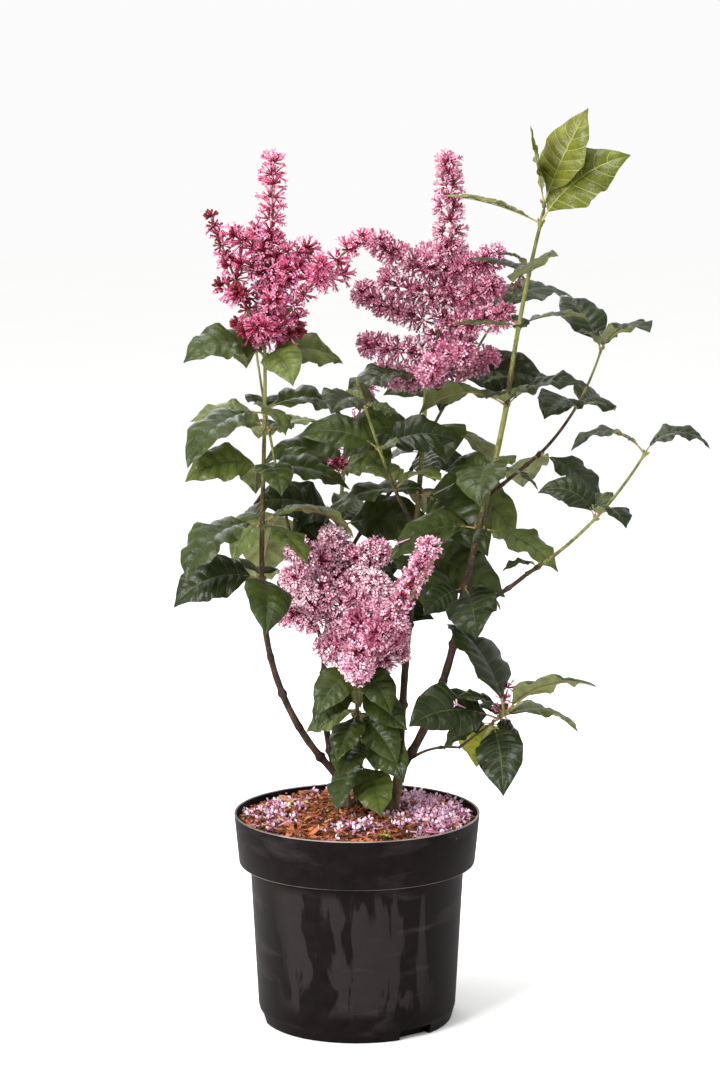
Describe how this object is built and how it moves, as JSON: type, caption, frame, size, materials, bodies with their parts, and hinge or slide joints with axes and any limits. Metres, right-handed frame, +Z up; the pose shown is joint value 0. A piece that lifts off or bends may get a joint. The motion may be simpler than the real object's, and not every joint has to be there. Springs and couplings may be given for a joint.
{
  "type": "potted lilac bush",
  "caption": "Open upright lilac shrub with slender stems, paired leaves and pink flower panicles, in a round flat-based nursery pot.",
  "frame": {"origin": "centre of the pot's flat underside", "axes": "+Z up, -Y towards the side that shows best, +X to that viewer's right"},
  "size_m": [0.5798, 0.4949, 1.0349],
  "materials": {
    "pot_plastic": "matte black, dusty",
    "compost": "loose bark and coir chips",
    "bark": "smooth dull bark with pale dots",
    "foliage": "satin, veined",
    "young_foliage": "satin, veined",
    "rose_blossom": "soft",
    "pale_blossom": "soft"
  },
  "bodies": {
    "root": {"pot": "pot_plastic", "compost": "compost", "trunk_left": "bark", "trunk_right": "bark", "front_stem": "bark", "left_stem": "bark", "back_stem": "bark", "middle_stem": "bark", "right_stem": "bark", "low_bough": "bark", "low_right_bough": "bark", "back_bough": "bark", "left_back_bough": "bark", "high_right_bough": "bark", "arching_bough": "bark", "left_foliage": "foliage", "back_foliage": "foliage", "front_foliage": "foliage", "middle_foliage": "foliage", "right_foliage": "foliage", "top_foliage": "young_foliage", "tip_foliage": "young_foliage", "low_right_foliage": "foliage", "high_right_foliage": "foliage", "far_foliage": "foliage", "arching_foliage": "foliage", "low_foliage": "foliage", "left_back_foliage": "foliage", "left_panicle": "rose_blossom", "left_bud_arm": "rose_blossom", "left_rose_arm": "rose_blossom", "small_panicle": "rose_blossom", "far_bud": "rose_blossom", "low_bud": "rose_blossom", "middle_panicle": "pale_blossom", "front_panicle": "pale_blossom", "front_side_arm": "pale_blossom"}
  },
  "joints": []
}
